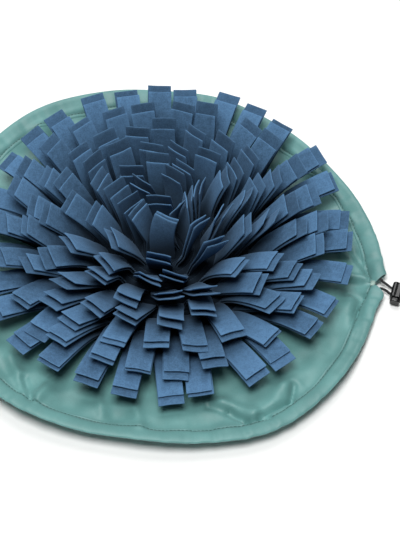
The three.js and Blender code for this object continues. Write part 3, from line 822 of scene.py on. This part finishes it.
def strip_grid(order, layer, thickness, curl, cup):
    """Points, faces and shading values of one layer of strips.

    A rounded flat section is carried along each strip's line, with a faint hollow across it, a ripple and a
    tip that curls. The values are a painted highlight of 1 on a cut edge, a tone for each strip, and painted
    shade for how deep a point lies.
    """
    centre, width, face, turn, start = strip_lines(order, layer)
    places = np.concatenate([[-0.6], np.arange(STRIP_STEPS), [STRIP_STEPS - 0.25, STRIP_STEPS]])
    low = np.clip(np.floor(places).astype(int), 0, STRIP_STEPS - 1)
    part = (places - low)[:, None]
    centre, width, face = [
        line[:, low] * (1 - part) + line[:, low + 1] * part for line in (centre, width, face)]
    across = np.concatenate([STRIP_ACROSS, STRIP_ACROSS[::-1]])
    through = np.concatenate([-STRIP_THROUGH, STRIP_THROUGH[::-1]])
    share = np.clip(places / STRIP_STEPS, 0, 1)
    at_end = places >= STRIP_STEPS
    slim = np.where(at_end, 0.55, 1.0)
    half = STRIP_WIDTHS[layer] / 2 * (1 - 0.012 * at_end)
    if order >= CLOSE_RINGS_FROM:
        curl = 0.5 * curl
    bend = curl * (0.15 + chance(start + 0.17))[:, None] * np.clip((share - 0.3) / 0.7, 0, 1) ** 2
    all_round, at_front = TIP_LIFTS[order]
    rise = all_round + at_front * np.maximum(0, -np.sin(turn))
    bend = bend + rise[:, None] * share ** 2
    hollow = cup * chance(start + 0.43)[:, None, None] * share[:, None] * (1 - across ** 2)
    phase = 6 * chance(start + 0.91)[:, None, None]
    ripple = 0.22 * np.sin(9 * share[:, None] + 4 * across + phase) * share[:, None]
    offset = through * slim[:, None] * thickness / 2 + bend[..., None] + hollow + ripple
    points = centre[:, :, None] + width[:, :, None] * (across * half[:, None])[..., None]
    points = points + face[:, :, None] * offset[..., None]
    shape = points.shape[:3]
    # Painted highlight on the cut edges along each side and across the tip's end.
    edge = np.broadcast_to(np.clip((np.abs(across) - 0.9) / 0.1, 0, 1), shape).copy()
    edge[:, at_end] = 1
    tone = np.broadcast_to(chance(start + 0.61 + layer)[:, None, None], shape)
    # Painted shade: a pair's outer strip is darker, most of all at the back, and every strip darkens towards
    # its root.
    painted_layer_shade = (1 - layer) * (0.25 + 0.13 * np.sin(turn))[:, None]
    hidden = painted_layer_shade + 0.97 * (1 - ease(share / (1.16 - 0.02 * order)))
    depth = np.broadcast_to(np.minimum(1, hidden)[..., None], shape)
    return points, repeated_faces(*shape), np.stack([edge.ravel(), tone.ravel(), depth.ravel()])


def heading_band(order):
    """Flat ring with rounded edges: a small section carried round a circle."""
    pairs = RINGS[order][0]
    radius = pairs * STRIP_PITCH / (2 * np.pi)
    inside, outside = radius - BAND_HALF_WIDTH, radius + BAND_HALF_WIDTH
    if order < len(MIDDLE_BANDS):
        inside, outside = MIDDLE_BANDS[order]
    low, high, soft = BAND_BOTTOM, BAND_TOP, BAND_EDGE
    section = np.array([
        (inside, high - soft), (inside + soft, high), (outside - soft, high), (outside, high - soft),
        (outside, low + soft), (outside - soft, low), (inside + soft, low), (inside, low + soft)])
    rows = 12 * max(pairs, 6)
    points = round_points(circle_angles(rows)[:, None], section[:, 0], section[:, 1])
    return points, ring_faces(rows, len(section))


# Cords and knot


def from_lock(points):
    """Points of the lock's own frame, turned and placed on the floor."""
    sine, cosine = math.sin(LOCK_TURN), math.cos(LOCK_TURN)
    turn = np.array([[cosine, -sine, 0], [sine, cosine, 0], [0, 0, 1]])
    return np.asarray(points, dtype=float) @ turn.T + LOCK_PLACE


def smooth_line(points, steps):
    """Curve through points: cubics whose spacing follows the square root of the distances between them."""
    row = np.concatenate([[2 * points[0] - points[1]], points, [2 * points[-1] - points[-2]]])
    gaps = np.sqrt(np.linalg.norm(np.diff(row, axis=0), axis=1))[:, None]
    before, here, there, after = row[:-3], row[1:-2], row[2:-1], row[3:]
    gap_in, gap, gap_out = gaps[:-2], gaps[1:-1], gaps[2:]
    start = gap * ((here - before) / gap_in - (there - before) / (gap_in + gap) + (there - here) / gap)
    end = gap * ((there - here) / gap - (after - here) / (gap + gap_out) + (after - there) / gap_out)
    share = np.linspace(0, 1, steps, endpoint=False)[:, None, None]
    curve = (here + start * share + (3 * (there - here) - 2 * start - end) * share ** 2
             + (2 * (here - there) + start + end) * share ** 3)
    return np.concatenate([curve.transpose(1, 0, 2).reshape(-1, 3), points[-1:]])


def cord_line(hem_angles, mouth, side):
    """A cord's route: out of the hem, through its hole in the lock and on to the knot."""
    hole = CORD_HOLES[side]
    socket = (0.5 - side) * 2 * KNOT_SPACING
    face = KNOT_PLACE[0] - KNOT_HALF_LENGTH + SOCKET_DEPTH
    y, z = KNOT_PLACE[1] + socket, KNOT_PLACE[2]
    hidden = plain_hem(np.array(hem_angles), CORD_SEAT, 0)
    opening = plain_hem(np.array([mouth]), CORD_SEAT + 0.6, 0.3 - 0.4 * side)
    free = from_lock([
        (-10.5, hole + 1.4, 1), (-6.5, hole, 0.1), (0, hole, 0), (6.5, hole, 0),
        (11, hole + 0.4 - 0.8 * side, -0.6), (22, hole + 1.5 - 4 * side, -2.6),
        (36, hole + 1 - 3 * side, -3.4), (face - 5, y, z - 0.4), (face, y, z)])
    return smooth_line(np.concatenate([hidden, opening, free]), 16)


def rounded_ends(path, radius):
    """Radii along a path: the full radius, drawn in over the last millimetre of each end."""
    run = np.concatenate([[0], np.cumsum(np.linalg.norm(np.diff(path, axis=0), axis=1))])
    near = np.minimum(run, run[-1] - run)
    return radius * np.sqrt(np.clip(1 - (1 - np.clip(near + 0.12, 0, 1)) ** 2, 0.05, 1)), run


def knot_loops():
    """Closed knot line that passes over and under itself three times: sines of one, two and three turns."""
    turn = circle_angles(120)
    x = 1.22 * (np.sin(turn) + 2 * np.sin(2 * turn))
    y = 1.08 * (np.cos(turn) - 2 * np.cos(2 * turn))
    z = -1.9 * np.sin(3 * turn)
    return np.stack([x, y, z], axis=-1)


# Cord lock


def squared(wave, power):
    """A sine or cosine made squarer: its size raised to a power, with its sign kept."""
    return np.sign(wave) * np.abs(wave) ** power


def soft_oblong(half_width, half_height, columns, power, groove):
    """Rounded oblong: a circle whose sine and cosine are made squarer, with a groove along its middle."""
    angle = (np.arange(columns) + 0.5) * 2 * np.pi / columns
    x = half_width * squared(np.cos(angle), power)
    z = -half_height * squared(np.sin(angle), power)
    return np.stack([x, z * (1 - groove * bell(x, GROOVE_WIDTH))], axis=-1)


def lathe_oblong(stations, columns):
    """Rows of oblongs along the lock: place, half width, half height, corner power and groove of each."""
    rows = []
    for place, half_width, half_height, power, groove in stations:
        flat = soft_oblong(half_width, half_height, columns, power, groove)
        rows.append(np.stack([flat[:, 0], np.full(columns, place), flat[:, 1]], axis=-1))
    return np.array(rows)


def round_over(place, half_width, half_height, edge, power, groove, back):
    """Stations of a rounded rim: a quarter turn of the edge's radius, at a body's front or back."""
    turn = np.linspace(0, np.pi / 2, 6)
    insets = edge * (1 - np.sin(turn))
    depths = (-edge if back else edge) * (1 - np.cos(turn))
    rows = [(place + depth, half_width - inset, half_height - inset, power, groove)
            for inset, depth in zip(insets, depths)]
    return rows[::-1] if back else rows


def shell_stations():
    """The lock's housing: from the end of its hollow, over its mouth and along its outside to the back."""
    first, last = SHELL_ENDS
    width, height = SHELL_SIZE
    hollow = [(y, *HOLLOW_SIZE, 0.3, 0.0) for y in (10.1, 8, 4, 0, -4, -6.2)]
    mouth = [(-6.8, 3.75, 2.95, 0.3, 0.0), (first, 4.1, 3.3, 0.34, 0.03)]
    front = round_over(first, width, height, 1.1, SOFT_CORNER, 0.16, False)
    side = [(y, width - 0.12 * math.cos(y * 0.5), height, SOFT_CORNER, 0.2)
            for y in np.linspace(-5.4, 9.0, 14)]
    back = round_over(last, width, height, 1.8, SOFT_CORNER, 0.16, True)
    close = [(last, 2.0, 1.6, 0.6, 0.05)]
    return hollow + mouth + front + side + back + close


def button_stations():
    """The push button from its domed face over its head and in to the flat stem."""
    first, last = HEAD_ENDS
    face = [(-12.45, 0.6, 0.5, 0.8, 0), (-12.4, 2.2, 1.9, 0.7, 0), (first, 3.4, 2.9, 0.6, 0)]
    head = round_over(first, *HEAD_SIZE, 1.0, SOFT_CORNER, 0, False)
    behind = round_over(last, *HEAD_SIZE, 0.6, SOFT_CORNER, 0, True)
    neck = [(last, 3.7, 2.9, 0.4, 0), (-9.7, *STEM_SIZE, 0.3, 0)]
    stem = [(y, *STEM_SIZE, 0.28, 0) for y in (-8, -6, -3, 0, 3, 6, 7.0)]
    tip = [(7.3, 3.1, 2.3, 0.28, 0)]
    return face + head + behind + neck + stem + tip


def hole_cutter(name, place, radius, reach, material):
    """Round bar across the lock, as a cutter for a cord hole."""
    path = np.stack([np.linspace(-reach, reach, 6), np.full(6, place), np.zeros(6)], axis=-1)
    return add_piece(name, from_lock(tube(path, np.full(6, radius), 28)), grid_faces(6, 28), material)


def window_cutter(name, low, high, half_height, reach, material):
    """Rounded slot across the button, as a cutter for the cords' window."""
    angle = circle_angles(32)
    y = (low + high) / 2 + (high - low) / 2 * squared(np.cos(angle), 0.3)
    z = half_height * squared(np.sin(angle), 0.3)
    ends = np.linspace(-reach, reach, 4)
    grid = np.stack(np.broadcast_arrays(ends[:, None], y, z), axis=-1)
    return add_piece(name, from_lock(grid), grid_faces(4, 32), material)


# Settings


class SnuffleStageSettings(bpy.types.PropertyGroup):
    """Floor and lights."""

    floor_colour: bpy.props.FloatVectorProperty(
        name="Floor", description="Colour of the studio floor", subtype="COLOR", min=0, max=1,
        default=linear("f6f6f5"))
    key_power: bpy.props.FloatProperty(
        name="Overhead light", description="Power of the large light over the bowl", unit="POWER",
        default=31)
    back_power: bpy.props.FloatProperty(
        name="Back light", description="Power of the soft light behind the bowl", unit="POWER",
        default=17)
    surround: bpy.props.FloatProperty(
        name="Surround", description="Strength of the even white surround", min=0, default=0.08)


class SnuffleClothSettings(bpy.types.PropertyGroup):
    """The dish and its hem."""

    thickness: bpy.props.FloatProperty(
        name="Thickness", description="Thickness of the coated cloth", unit="LENGTH", default=1.4 * MM)
    stitch_pitch: bpy.props.FloatProperty(
        name="Stitch pitch", description="Distance from one hem stitch to the next", unit="LENGTH",
        default=3.6 * MM)
    colour: bpy.props.FloatVectorProperty(
        name="Cloth", description="Colour of the coated cloth", subtype="COLOR", min=0, max=1,
        default=linear("5e8e8c"))
    thread: bpy.props.FloatVectorProperty(
        name="Thread", description="Colour of the sewing thread", subtype="COLOR", min=0, max=1,
        default=linear("436d6a"))
    bar: bpy.props.FloatVectorProperty(
        name="Bar", description="Colour of the pale stitches at the notch", subtype="COLOR", min=0, max=1,
        default=linear("b4cfc6"))


class SnuffleFeltSettings(bpy.types.PropertyGroup):
    """The felt strips and their heading bands."""

    thickness: bpy.props.FloatProperty(
        name="Thickness", description="Thickness of the felt", unit="LENGTH", default=1.5 * MM)
    curl: bpy.props.FloatProperty(
        name="Tip curl", description="How far a tip may curl either way", unit="LENGTH", default=5.5 * MM)
    cup: bpy.props.FloatProperty(
        name="Hollow", description="How hollow a strip may lie across its width", unit="LENGTH",
        default=0.9 * MM)
    colour: bpy.props.FloatVectorProperty(
        name="Felt", description="Colour of the felt", subtype="COLOR", min=0, max=1,
        default=linear("496b8c"))


class SnuffleCordSettings(bpy.types.PropertyGroup):
    """The drawcord and its knot."""

    diameter: bpy.props.FloatProperty(
        name="Diameter", description="Diameter of the elastic cord", unit="LENGTH", default=2.6 * MM)
    colour: bpy.props.FloatVectorProperty(
        name="Cord", description="Colour of the braided cord", subtype="COLOR", min=0, max=1,
        default=linear("1b1c1e"))


class SnuffleLockSettings(bpy.types.PropertyGroup):
    """The cord lock."""

    colour: bpy.props.FloatVectorProperty(
        name="Lock", description="Colour of the lock's plastic", subtype="COLOR", min=0, max=1,
        default=linear("121314"))
    hole_diameter: bpy.props.FloatProperty(
        name="Cord hole", description="Diameter of each cord hole", unit="LENGTH", default=3.5 * MM)


# Operators


class SNUFFLE_OT_stage(bpy.types.Operator):
    """Camera at the photograph's angle, a pale floor and soft studio light."""

    bl_idname = "snuffle.stage"
    bl_label = "Stage"

    def execute(self, context):
        scene = context.scene
        settings = scene.snuffle_stage
        self.add_camera(scene)
        corners = np.array([(-1, -1, 0), (1, -1, 0), (1, 1, 0), (-1, 1, 0)]) * FLOOR_HALF + FLOOR_LEVEL * UP
        add_piece("studio_floor", corners, [[0, 1, 2, 3]], floor_material(settings.floor_colour))
        self.add_light(scene, "overhead_light", *OVERHEAD_LIGHT, settings.key_power)
        self.add_light(scene, "back_light", *BACK_LIGHT, settings.back_power)
        world = bpy.data.worlds.new("studio_surround")
        world.use_nodes = True
        background = world.node_tree.nodes["Background"]
        background.inputs["Color"].default_value = (1, 1, 1, 1)
        background.inputs["Strength"].default_value = settings.surround
        scene.world = world
        return {"FINISHED"}

    def add_camera(self, scene):
        """The camera, turned down to the photograph's angle and moved aside to its framing."""
        lens = bpy.data.cameras.new("photo_camera")
        lens.sensor_fit = "AUTO"
        lens.sensor_width = 36
        lens.lens = PHOTO_LENS
        lens.clip_end = 20
        right = np.array([1.0, 0.0, 0.0])
        back = np.array([0.0, -math.cos(PHOTO_ELEVATION), math.sin(PHOTO_ELEVATION)])
        over = np.array([0.0, math.sin(PHOTO_ELEVATION), math.cos(PHOTO_ELEVATION)])
        place = back * PHOTO_DISTANCE + right * PHOTO_RIGHT + over * PHOTO_UP
        camera = bpy.data.objects.new("photo_camera", lens)
        turn = Matrix(np.stack([right, over, back], axis=-1))
        camera.matrix_world = Matrix.Translation(place) @ turn.to_4x4()
        scene.collection.objects.link(camera)
        scene.camera = camera
        scene.view_settings.view_transform = "Standard"

    def add_light(self, scene, name, place, size, power):
        """A square soft light that faces the middle of the dish."""
        lamp = bpy.data.lights.new(name, "AREA")
        lamp.energy = power
        lamp.size = size
        light = bpy.data.objects.new(name, lamp)
        aim = -np.array(place)
        light.location = place
        light.rotation_euler = (math.atan2(math.hypot(aim[0], aim[1]), -aim[2]), 0,
                                math.atan2(aim[1], aim[0]) - math.pi / 2)
        scene.collection.objects.link(light)


class SNUFFLE_OT_cords(bpy.types.Operator):
    """The two ends of the braided drawcord and the knot that joins them."""

    bl_idname = "snuffle.cords"
    bl_label = "Cords"

    def execute(self, context):
        settings = context.scene.snuffle_cord
        material = cord_material(settings.colour)
        radius = settings.diameter / MM / 2
        knot = self.add_knot(material, radius)
        for side, (name, hem_angles, mouth, leaves) in enumerate(CORD_ENDS):
            path = cord_line(hem_angles, mouth, side)
            radii, run = rounded_ends(path, radius)
            faces = grid_faces(len(path), CORD_COLUMNS)
            piece = add_piece(f"braided_{name}", tube(path, radii, CORD_COLUMNS), faces, material)
            braid_map(piece.data, len(path), CORD_COLUMNS, run)
            dress(piece, "dish", "elastic_cord", name)
            exit_point = plain_hem(np.array([leaves]), CORD_SEAT, 0)[0] * MM
        return {"FINISHED"}

    def add_knot(self, material, radius):
        """The knot: a closed loop that crosses itself, and two short tails with sealed ends."""
        columns = CORD_COLUMNS
        loop = knot_loops()
        ring = np.concatenate([loop[-1:], loop, loop[:1]])
        parts = [(tube(ring, np.full(len(ring), radius), columns)[1:-1], ring_faces(len(loop), columns))]
        runs = [np.arange(len(loop)) * 0.4]
        for side in (-1, 1):
            reach = KNOT_TAIL + side
            x = np.linspace(0, reach, 24)
            bend = (x / reach) ** 2
            path = np.stack([x, side * KNOT_SPACING + 0.5 * side * bend, -0.6 - 0.9 * bend], axis=-1)
            radii, run = rounded_ends(path, radius)
            parts.append((tube(path, radii, columns), grid_faces(len(path), columns)))
            runs.append(run)
        points, faces = joined(parts)
        piece = add_piece("cord_end_knot", from_lock(points + KNOT_PLACE), faces, material)
        steps = np.concatenate(runs)
        turns = np.tile(np.arange(columns) / columns, len(steps))
        values = np.stack([turns, np.repeat(steps, columns)], axis=-1)
        corners = np.empty(len(piece.data.loops), dtype=int)
        piece.data.loops.foreach_get("vertex_index", corners)
        piece.data.uv_layers.new(name="braid").data.foreach_set("uv", values[corners].ravel())
        dress(piece, "dish", "elastic_cord", "cord_knot")
        return piece


class SNUFFLE_OT_felt(bpy.types.Operator):
    """Eight rings of felt strips, each on its own heading band."""

    bl_idname = "snuffle.felt"
    bl_label = "Felt strips"

    def execute(self, context):
        settings = context.scene.snuffle_felt
        material = felt_material(settings.colour)
        sizes = settings.thickness / MM, settings.curl / MM, settings.cup / MM
        for order in range(len(RINGS)):
            band, band_faces = heading_band(order)
            # The heading bands take the full painted shade, so they are almost black.
            values = [np.repeat([[0.0], [0.0], [1.0]], band.size // 3, axis=1)]
            parts = [(band, band_faces)]
            for layer in range(2):
                grid, grid_corners, grid_values = strip_grid(order, layer, *sizes)
                parts.append((grid, grid_corners))
                values.append(grid_values)
            points, faces = joined(parts)
            piece = add_piece(
                f"felt_strips_{order + 1}", points + FLOWER_CENTRE, faces, material, FELT_SHARP)
            for name, row in zip(("edge", "tone", "depth"), np.concatenate(values, axis=1)):
                add_value(piece, name, row)
            dress(piece, "dish", "felt", f"felt_ring_{order + 1}")
        return {"FINISHED"}


class SNUFFLE_OT_cloth(bpy.types.Operator):
    """The coated cloth dish with its drawstring hem and its stitching."""

    bl_idname = "snuffle.cloth"
    bl_label = "Cloth dish"

    def execute(self, context):
        settings = context.scene.snuffle_cloth
        sheet, sheet_faces = dish_sheet(settings.thickness / MM)
        hem = hem_tube()
        points, faces = joined([(sheet, sheet_faces), (hem, grid_faces(*hem.shape[:2]))])
        cloth = add_piece("dish_cloth", points, faces, cloth_material(settings.colour), CLOTH_SHARP)
        along, above = HEM_SECTION.T
        # The rim is paler over its last stretch, and the seam's groove gets painted shade.
        pale_rim = np.clip((along - HEM_WIDTH + PALE_RIM_WIDTH) / PALE_RIM_WIDTH, 0, 1)
        seam_shade = bell(along - SEAM_PLACE, SEAM_SHADE_WIDTH) * (above > 0)
        pale_rim_seam_shade = np.concatenate([np.zeros(len(sheet)), np.tile(pale_rim - 2 * seam_shade, len(hem))])
        add_value(cloth, "pale_rim_seam_shade", pale_rim_seam_shade)
        dress(cloth, "dish", "coated_cloth", "base_cloth")
        thread = self.add_stitching(settings)
        return {"FINISHED"}

    def add_stitching(self, settings):
        """Running stitches round the hem's inner edge, over and under it, and a bar at the notch."""
        pitch = settings.stitch_pitch / MM
        count = int(2 * np.pi * SEAM_RADIUS / pitch)
        azimuth = hem_turns((np.arange(count) + 0.5) / count, SEAM_PLACE)
        seams = [stitches(azimuth, height, STITCH_SHARE * pitch, SEAM_PLACE) for height in SEAM_HEIGHTS]
        places = NOTCH_AZIMUTH + np.linspace(-BAR_HALF_SPAN, BAR_HALF_SPAN, BAR_STITCHES)
        bar = stitches(places, BAR_HEIGHT, BAR_LENGTH, BAR_PLACE, math.pi / 2)
        points, faces = joined([*seams, bar])
        material = thread_material(settings.thread, settings.bar)
        piece = add_piece("hem_stitching", points, faces, material)
        bar_size = bar[0].size // 3
        add_value(piece, "bar", np.repeat([0.0, 1.0], [len(points) - bar_size, bar_size]))
        dress(piece, "dish", "coated_cloth")
        return piece


class SNUFFLE_OT_lock(bpy.types.Operator):
    """The cord lock: a grooved housing with two cord holes, and its push button."""

    bl_idname = "snuffle.lock"
    bl_label = "Cord lock"

    def execute(self, context):
        settings = context.scene.snuffle_lock
        material = plastic_material(settings.colour)
        radius = settings.hole_diameter / MM / 2
        housing = self.add_body("lock_housing", shell_stations(), material)
        holes = [hole_cutter(f"hole_{order}", place, radius, HOLE_REACH, material)
                 for order, place in enumerate(CORD_HOLES)]
        cut_away(housing, holes, LOCK_SHARP)
        dress(housing, "dish", "lock_plastic", "lock_shell")
        button = self.add_body("lock_push_button", button_stations(), material)
        cut_away(button, [window_cutter("window", *WINDOW, material)], LOCK_SHARP)
        dress(button, "lock_button", "lock_plastic", "lock_button")
        return {"FINISHED"}

    def add_body(self, name, stations, material):
        """A closed body through the oblongs of its stations, placed where the lock lies."""
        grid = lathe_oblong(stations, LOCK_COLUMNS)
        return add_piece(name, from_lock(grid), grid_faces(len(grid), LOCK_COLUMNS), material, LOCK_SHARP)


class SNUFFLE_PT_panel(bpy.types.Panel):
    """Sizes and colours of the bowl, with a button for each group of pieces."""

    bl_label = "Snuffle bowl"
    bl_idname = "SNUFFLE_PT_panel"
    bl_space_type = "VIEW_3D"
    bl_region_type = "UI"
    bl_category = "Snuffle Bowl"

    def draw(self, context):
        for _, operator, settings in STEPS:
            box = self.layout.box()
            box.operator(operator.bl_idname)
            group = getattr(context.scene, settings)
            for name in group.__annotations__:
                box.prop(group, name)


STEPS = [
    (SnuffleStageSettings, SNUFFLE_OT_stage, "snuffle_stage"),
    (SnuffleCordSettings, SNUFFLE_OT_cords, "snuffle_cord"),
    (SnuffleFeltSettings, SNUFFLE_OT_felt, "snuffle_felt"),
    (SnuffleClothSettings, SNUFFLE_OT_cloth, "snuffle_cloth"),
    (SnuffleLockSettings, SNUFFLE_OT_lock, "snuffle_lock"),
]


def register():
    for settings, operator, name in STEPS:
        bpy.utils.register_class(settings)
        bpy.utils.register_class(operator)
        setattr(bpy.types.Scene, name, bpy.props.PointerProperty(type=settings))
    bpy.utils.register_class(SNUFFLE_PT_panel)


def unregister():
    bpy.utils.unregister_class(SNUFFLE_PT_panel)
    for settings, operator, name in reversed(STEPS):
        delattr(bpy.types.Scene, name)
        bpy.utils.unregister_class(operator)
        bpy.utils.unregister_class(settings)


def main():
    """Builds every group in order."""
    register()
    bpy.ops.snuffle.stage()
    bpy.ops.snuffle.cords()
    bpy.ops.snuffle.felt()
    bpy.ops.snuffle.cloth()
    bpy.ops.snuffle.lock()


if __name__ == "__main__":
    main()
